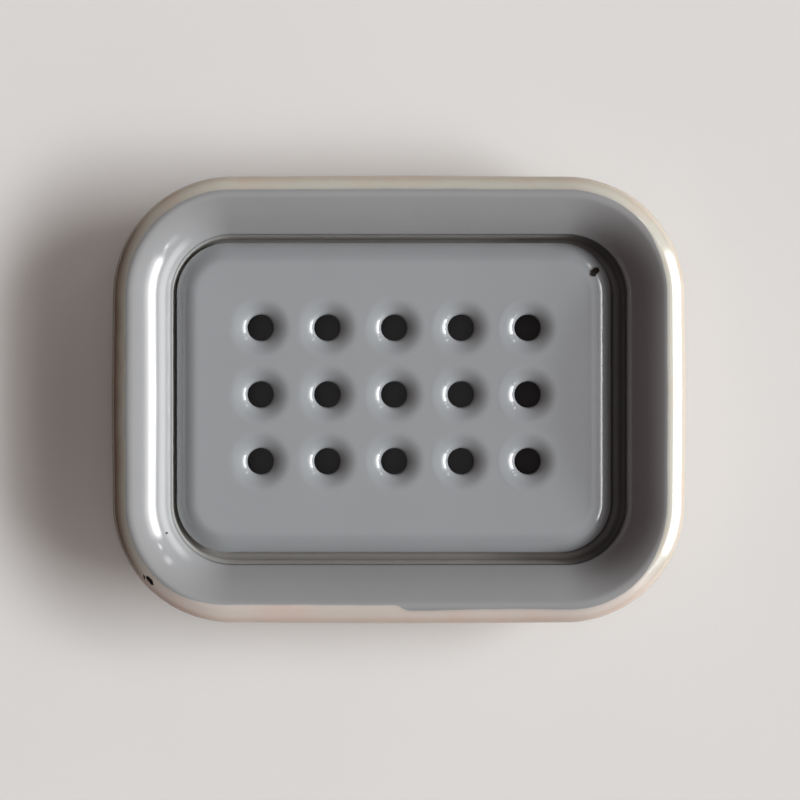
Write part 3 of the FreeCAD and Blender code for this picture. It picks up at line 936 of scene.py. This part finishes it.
@dataclass
class Drainer:
    """The drainer: a shallow pan turned upside down, with fifteen holes in shallow dimples."""

    height: float = 10.7 * MM
    sheet: float = 1.1 * MM
    skirt_draft: float = 2.0
    skirt_bend: float = 1.8 * MM
    upper_bend: float = 0.8 * MM
    crown_radius: float = 7.0 * MM
    crown_slope: float = 45.0
    hole_radius: float = 3.2 * MM
    hole_pitch: float = 16.5 * MM
    hole_columns: int = 5
    hole_rows: int = 3
    grid_offset: float = 0.8 * MM
    dimple_land: float = 0.8 * MM
    dimple_slope: float = 37.0
    cell_steps: int = 24
    lip_reach: float = 0.5 * MM
    lip_steps: int = 10
    dimple_steps: int = 13
    land_steps: int = 3
    deck_rings: int = 7
    place: tuple[float, float, float] = field(init=False)
    half_length: float = field(init=False)
    half_width: float = field(init=False)
    corner: float = field(init=False)
    edge_centre: Point = field(init=False)
    bend_centre: Point = field(init=False)
    crown_centre: Point = field(init=False)
    dimple_radius: float = field(init=False)
    dimple_curve: float = field(init=False)

    def __post_init__(self) -> None:
        """Work out where the drainer lies and the centres of its section's arcs."""
        low, high = Piece.DRAINER.box
        self.place = ((low.x + high.x) / 2, (low.y + high.y) / 2, low.z)
        self.half_length, self.half_width = (high.x - low.x) / 2, (high.y - low.y) / 2
        self.corner = self.half_length - CORNER_CENTRE_X
        slope, draft = math.radians(self.crown_slope), math.radians(self.skirt_draft)
        edge = self.sheet / 2
        reach = self.crown_radius - self.skirt_bend
        crown_height = self.height - self.crown_radius
        bend_height = crown_height + reach * math.cos(slope)
        middle = self.skirt_bend - edge
        rise = bend_height + middle * math.sin(draft) - edge
        bend_inset = edge + rise * math.tan(draft) + middle * math.cos(draft)
        self.edge_centre = (edge, edge)
        self.bend_centre = (bend_inset, bend_height)
        self.crown_centre = (bend_inset + reach * math.sin(slope), crown_height)
        self.dimple_radius = (self.hole_pitch - self.dimple_land) / 2
        rim_run = self.dimple_radius - self.hole_radius
        self.dimple_curve = rim_run / math.sin(math.radians(self.dimple_slope))

    def side(self, depth: float) -> np.ndarray:
        """One side of the sheet, from the deck out to the skirt.

        Args:
            depth: How far below the upper side it lies.

        Returns:
            Rows of inset and height.
        """
        steep, slope, radius = 90.0 - self.skirt_draft, self.crown_slope, self.skirt_bend
        bend = self.bend_centre
        if not depth:
            slope = steep - tightened(self.crown_radius, radius, steep - slope, self.upper_bend)
            radius = self.upper_bend
            bend = beyond(self.crown_centre, self.crown_radius - radius, -slope)
        return join_runs(arc_points(self.crown_centre, self.crown_radius - depth, 0.0, -slope),
                         arc_points(bend, radius - depth, -slope, -steep))

    def section(self) -> np.ndarray:
        """The section from the deck out over the crown, round the skirt's edge and back beneath.

        Returns:
            Rows of inset and height.
        """
        steep = self.skirt_draft - 90.0
        edge = arc_points(self.edge_centre, self.sheet / 2, steep, steep - 180.0)
        return join_runs(self.side(0.0), edge, self.side(self.sheet)[::-1])

    def dimple_height(self, radius: np.ndarray, depth: float) -> np.ndarray:
        """Height of one side of a dimple at a distance from the axis of its hole."""
        drop = (self.dimple_curve - depth) ** 2 - (self.dimple_radius - radius) ** 2
        return self.height - self.dimple_curve + np.sqrt(drop)

    def dimple_section(self) -> np.ndarray:
        """The section of a dimple, from its outer edge over the hole's lip and back beneath.

        Returns:
            Rows of distance from the hole's axis and height.
        """
        radii = np.linspace(self.dimple_radius, self.hole_radius + self.lip_reach,
                            self.dimple_steps + 1)
        over = np.column_stack([radii, self.dimple_height(radii, 0.0)])
        under = np.column_stack([radii, self.dimple_height(radii, self.sheet)])[::-1]
        lip_radius = self.hole_radius - self.lip_reach / 3
        corners = [over[-1], *((lip_radius, float(self.dimple_height(np.array(lip_radius), depth)))
                               for depth in (0.0, self.sheet)), under[0]]
        share = np.linspace(0, 1, self.lip_steps + 1)[1:-1, None]
        weights = [(1 - share) ** 3, 3 * share * (1 - share) ** 2, 3 * share ** 2 * (1 - share),
                   share ** 3]
        lip = sum(weight * np.array(corner) for weight, corner in zip(weights, corners))
        return np.vstack([over, lip, under])

    def lay_cell(self, shell: Shell, centre: Point) -> None:
        """Lay one square cell of the deck with its dimple and hole, above and beneath.

        Args:
            shell: Shell of the drainer.
            centre: Where the hole's axis stands.
        """
        half = self.hole_pitch / 2
        square = rectangle_loop(half, half, self.cell_steps, self.cell_steps)
        directions = square / np.linalg.norm(square, axis=1)[:, None]
        section = self.dimple_section()
        flat = directions[None] * section[:, 0][:, None, None]
        heights = np.broadcast_to(section[:, 1][:, None, None], flat.shape[:2] + (1,))
        rows = shell.lay(np.concatenate([flat + centre, heights], axis=2), DEEP_INSIDE)
        shell.skin(rows)
        for ring, level in ((rows[0], self.height), (rows[-1], self.height - self.sheet)):
            border = np.column_stack([square + centre, np.full(len(square), level)])
            shell.bridge(shell.lay(border, DEEP_INSIDE), ring, self.land_steps)

    def build(self) -> bpy.types.Object:
        """Build the drainer's mesh and dress it.

        Returns:
            The drainer.
        """
        long_steps = self.hole_columns * self.cell_steps
        short_steps = self.hole_rows * self.cell_steps
        outline = Outline(self.half_length, self.half_width, self.corner, long_steps, short_steps)
        shell = Shell()
        rows = shell.lay(outline.sweep(self.section()), DEEP_INSIDE)
        shell.skin(rows)
        grid_half = self.hole_pitch * self.hole_columns / 2, self.hole_pitch * self.hole_rows / 2
        border = rectangle_loop(*grid_half, long_steps, short_steps) + (0.0, self.grid_offset)
        for edge in (rows[0], rows[-1]):
            level = shell.points[edge[0], 2]
            loop = shell.lay(np.column_stack([border, np.full(len(border), level)]), DEEP_INSIDE)
            shell.bridge(edge, loop, self.deck_rings)
        for column in range(self.hole_columns):
            for row in range(self.hole_rows):
                centre = ((column - (self.hole_columns - 1) / 2) * self.hole_pitch,
                          (row - (self.hole_rows - 1) / 2) * self.hole_pitch + self.grid_offset)
                self.lay_cell(shell, centre)
        shell.points = shell.points + self.place
        made = shell.make(Piece.DRAINER.title)
        made.data.materials.append(DRAINER_ENAMEL.material())
        Piece.DRAINER.seat(made)
        return made


GREY: Colour = (0.268, 0.276, 0.283)
COOL_GREY: Colour = (0.268, 0.286, 0.301)

TRAY_ENAMEL = Enamel(
    name="tray_enamel", inside=GREY, rim=(0.485, 0.478, 0.423), edge=(0.43, 0.38, 0.315),
    outside=(0.35, 0.28, 0.225), right_shade_strength=0.20, right_shade_radii=(44.0 * MM, 58.0 * MM),
    chips=(Chip((-60.5 * MM, -44.0 * MM, 20.4 * MM), (1.35 * MM, 0.50 * MM, 2.0 * MM), -52.0),
           Chip((-61.9 * MM, -43.1 * MM, 20.4 * MM), (0.62 * MM, 0.22 * MM, 2.0 * MM), -80.0),
           Chip((-56.7 * MM, -32.6 * MM, 16.2 * MM), (0.28 * MM, 0.22 * MM, 2.0 * MM), 0.0)))

DRAINER_ENAMEL = Enamel(
    name="insert_enamel", inside=COOL_GREY, rim=COOL_GREY, edge=COOL_GREY, outside=COOL_GREY,
    gap_light_top=(9.0 * MM, 10.4 * MM), right_shade_strength=0.15,
    chips=(Chip((48.2 * MM, 31.5 * MM, 12.3 * MM), (1.25 * MM, 0.95 * MM, 3.0 * MM), 36.0),))


@dataclass(frozen=True)
class Pane:
    """A bright part of the room with soft edges, placed by its angles in degrees."""

    level: float
    elevations: tuple[float, float, float, float]
    heading: float
    half_widths: tuple[float, float]

    def light(self, height: Wire, along: Wire, across: Wire) -> Wire:
        """How bright the pane is in a direction.

        Args:
            height: Sine of the direction's elevation.
            along: Cosine of its azimuth from +X.
            across: Sine of its azimuth from +X.

        Returns:
            The pane's level, which falls to 0 outside it.
        """
        low, full, fading, top = (math.sin(math.radians(angle)) for angle in self.elevations)
        outer, inner = (math.cos(math.radians(angle)) for angle in self.half_widths)
        heading = math.radians(self.heading)
        ahead = along * math.cos(heading) + across * math.sin(heading)
        upright = height.ramp(low, full) * (1.0 - height.ramp(fading, top))
        return upright * ahead.ramp(outer, inner) * self.level


@dataclass(frozen=True)
class Softbox:
    """A soft lamp that hangs over the dish and leaves no highlight."""

    name: str
    height: float
    width: float
    level: float
    colour: Colour

    def hang(self) -> None:
        """Hang the lamp so that it lights a level surface to its share of a plain level."""
        data = bpy.data.lights.new(self.name, "AREA")
        data.shape = "DISK"
        data.size = self.width
        data.energy = self.level * math.pi ** 2 * self.height ** 2
        data.color = self.colour
        lamp = bpy.data.objects.new(self.name, data)
        lamp.location = (0.0, 0.0, self.height)
        lamp.visible_glossy = False
        bpy.context.scene.collection.objects.link(lamp)


@dataclass(frozen=True)
class Studio:
    """The plain room: a pale floor, the light from all round it and the camera.

    The light is an even dim one, a window with a low glow and small panes beside it, a pale patch
    of ceiling with a dark spot, and one soft lamp. Behind the floor the camera sees a pale horizon.
    """

    floor_radius: float = 6.0
    floor_colour: Colour = (0.70, 0.70, 0.69)
    ambient: Colour = (0.050, 0.029, 0.022)
    horizon: Colour = (0.72, 0.72, 0.71)
    horizon_height: float = 0.45
    rim_level: float = 17.6 * MM
    camera_distance: float = 504.0 * MM
    frame_width: float = 195.3 * MM
    camera_place: Point = (0.305 * MM, -0.12 * MM)
    panes: tuple[Pane, ...] = (
        Pane(24.0, (19.5, 27.0, 28.0, 38.0), -2.0, (29.0, 19.0)),
        Pane(5.2, (19.5, 27.0, 37.0, 46.0), -2.0, (29.0, 19.0)),
        Pane(4.2, (1.0, 6.0, 11.0, 19.0), 0.0, (60.0, 40.0)),
        Pane(12.0, (28.0, 30.0, 32.5, 34.5), -37.5, (2.8, 1.4)),
        Pane(7.0, (25.5, 27.5, 29.5, 31.5), -32.5, (2.2, 1.0)),
        Pane(2.0, (22.0, 27.0, 32.0, 36.0), -45.0, (6.0, 3.0)),
        Pane(12.0, (32.5, 34.0, 36.0, 38.0), 30.5, (2.4, 1.2)),
        Pane(5.0, (31.0, 35.0, 41.0, 45.0), 43.0, (4.0, 2.0)))
    ceiling: float = 0.76
    ceiling_reach: tuple[float, float] = (0.10, 0.62)
    ceiling_rise: tuple[float, float] = (0.0, 0.5)
    dark_spot: Point = (0.155, 0.0)
    dark_spot_reach: tuple[float, float] = (0.070, 0.095)
    fill: Softbox = Softbox("fill", 560 * MM, 60 * MM, 0.075, (1.0, 0.80, 0.73))

    FLOOR_GRAIN = Grain(60 * MM, 3.0)
    FLOOR_MOTTLE = 0.05
    FLOOR_ROUGHNESS = 0.75
    FLOOR_SEGMENTS = 96
    LEAST_SQUARE = 0.0001

    def set_up(self) -> None:
        """Lay the floor, light the room and place the camera."""
        self._lay_floor()
        self._light_world()
        self.fill.hang()
        self._place_camera()
        bpy.context.scene.view_settings.view_transform = "Standard"

    def _lay_floor(self) -> None:
        """Lay a round pale floor under the dish."""
        mesh = bpy.data.meshes.new("floor")
        work = bmesh.new()
        bmesh.ops.create_circle(work, cap_ends=True, segments=self.FLOOR_SEGMENTS,
                                radius=self.floor_radius)
        work.to_mesh(mesh)
        work.free()
        floor = bpy.data.objects.new("floor", mesh)
        bpy.context.scene.collection.objects.link(floor)
        material = bpy.data.materials.new("pale_floor")
        material.use_nodes = True
        recipe = Recipe(material.node_tree)
        mottle = recipe.noise(self.FLOOR_GRAIN) * self.FLOOR_MOTTLE
        shader = recipe.node("ShaderNodeBsdfPrincipled", None, {
            "Base Color": recipe.shade(self.floor_colour, mottle),
            "Roughness": self.FLOOR_ROUGHNESS})
        recipe.add("ShaderNodeOutputMaterial", None, {"Surface": shader})
        floor.data.materials.append(material)

    def _light_world(self) -> None:
        """Give the room its even light, window, ceiling and horizon."""
        world = bpy.data.worlds.new("room")
        world.use_nodes = True
        bpy.context.scene.world = world
        recipe = Recipe(world.node_tree)
        direction = recipe.node("ShaderNodeTexCoord", output="Generated")
        along, across, height = (recipe.axis(direction, name) for name in "XYZ")
        flat = (along * along + across * across).at_least(self.LEAST_SQUARE).inverse_root()
        light = self._overhead(recipe, along, across, height)
        for pane in self.panes:
            light = light + pane.light(height, along * flat, across * flat)
        room = recipe.blend(1.0, self.ambient, recipe.grey(light), "ADD")
        seen = recipe.node("ShaderNodeLightPath", output="Is Camera Ray")
        pale = seen * (1.0 - height.ramp(self.horizon_height / 2, self.horizon_height))
        background = recipe.node("ShaderNodeBackground", None, {
            "Color": recipe.blend(pale, room, self.horizon), "Strength": 1.0})
        recipe.add("ShaderNodeOutputWorld", None, {"Surface": background})

    def _overhead(self, recipe: Recipe, along: Wire, across: Wire, height: Wire) -> Wire:
        """Brightness of the ceiling: a pale patch with a dark spot towards the window.

        Args:
            recipe: Recipe of the world.
            along: X of the direction.
            across: Y of the direction.
            height: Z of the direction.

        Returns:
            The brightness.
        """
        spot_x, spot_y = self.dark_spot
        patch = 1.0 - recipe.reach(along, across).ramp(*self.ceiling_reach)
        spot = recipe.reach(along - spot_x, across - spot_y).ramp(*self.dark_spot_reach)
        return patch * spot * height.ramp(*self.ceiling_rise) * self.ceiling

    def _place_camera(self) -> None:
        """Put the camera straight above the dish."""
        data = bpy.data.cameras.new("camera")
        data.sensor_width = FILM_WIDTH
        data.lens = data.sensor_width * self.camera_distance / self.frame_width
        camera = bpy.data.objects.new("camera", data)
        camera.location = (*self.camera_place, self.rim_level + self.camera_distance)
        bpy.context.scene.collection.objects.link(camera)
        bpy.context.scene.camera = camera


def main() -> None:
    """Build the pieces and the room, and report each piece."""
    logging.basicConfig(level=logging.INFO, format="%(name)s: %(message)s")
    for builder in (Tray(), Drainer()):
        made = builder.build()
        LOG.info("%s: %d faces", made.name, len(made.data.polygons))
    Studio().set_up()


if __name__ == "__main__":
    main()
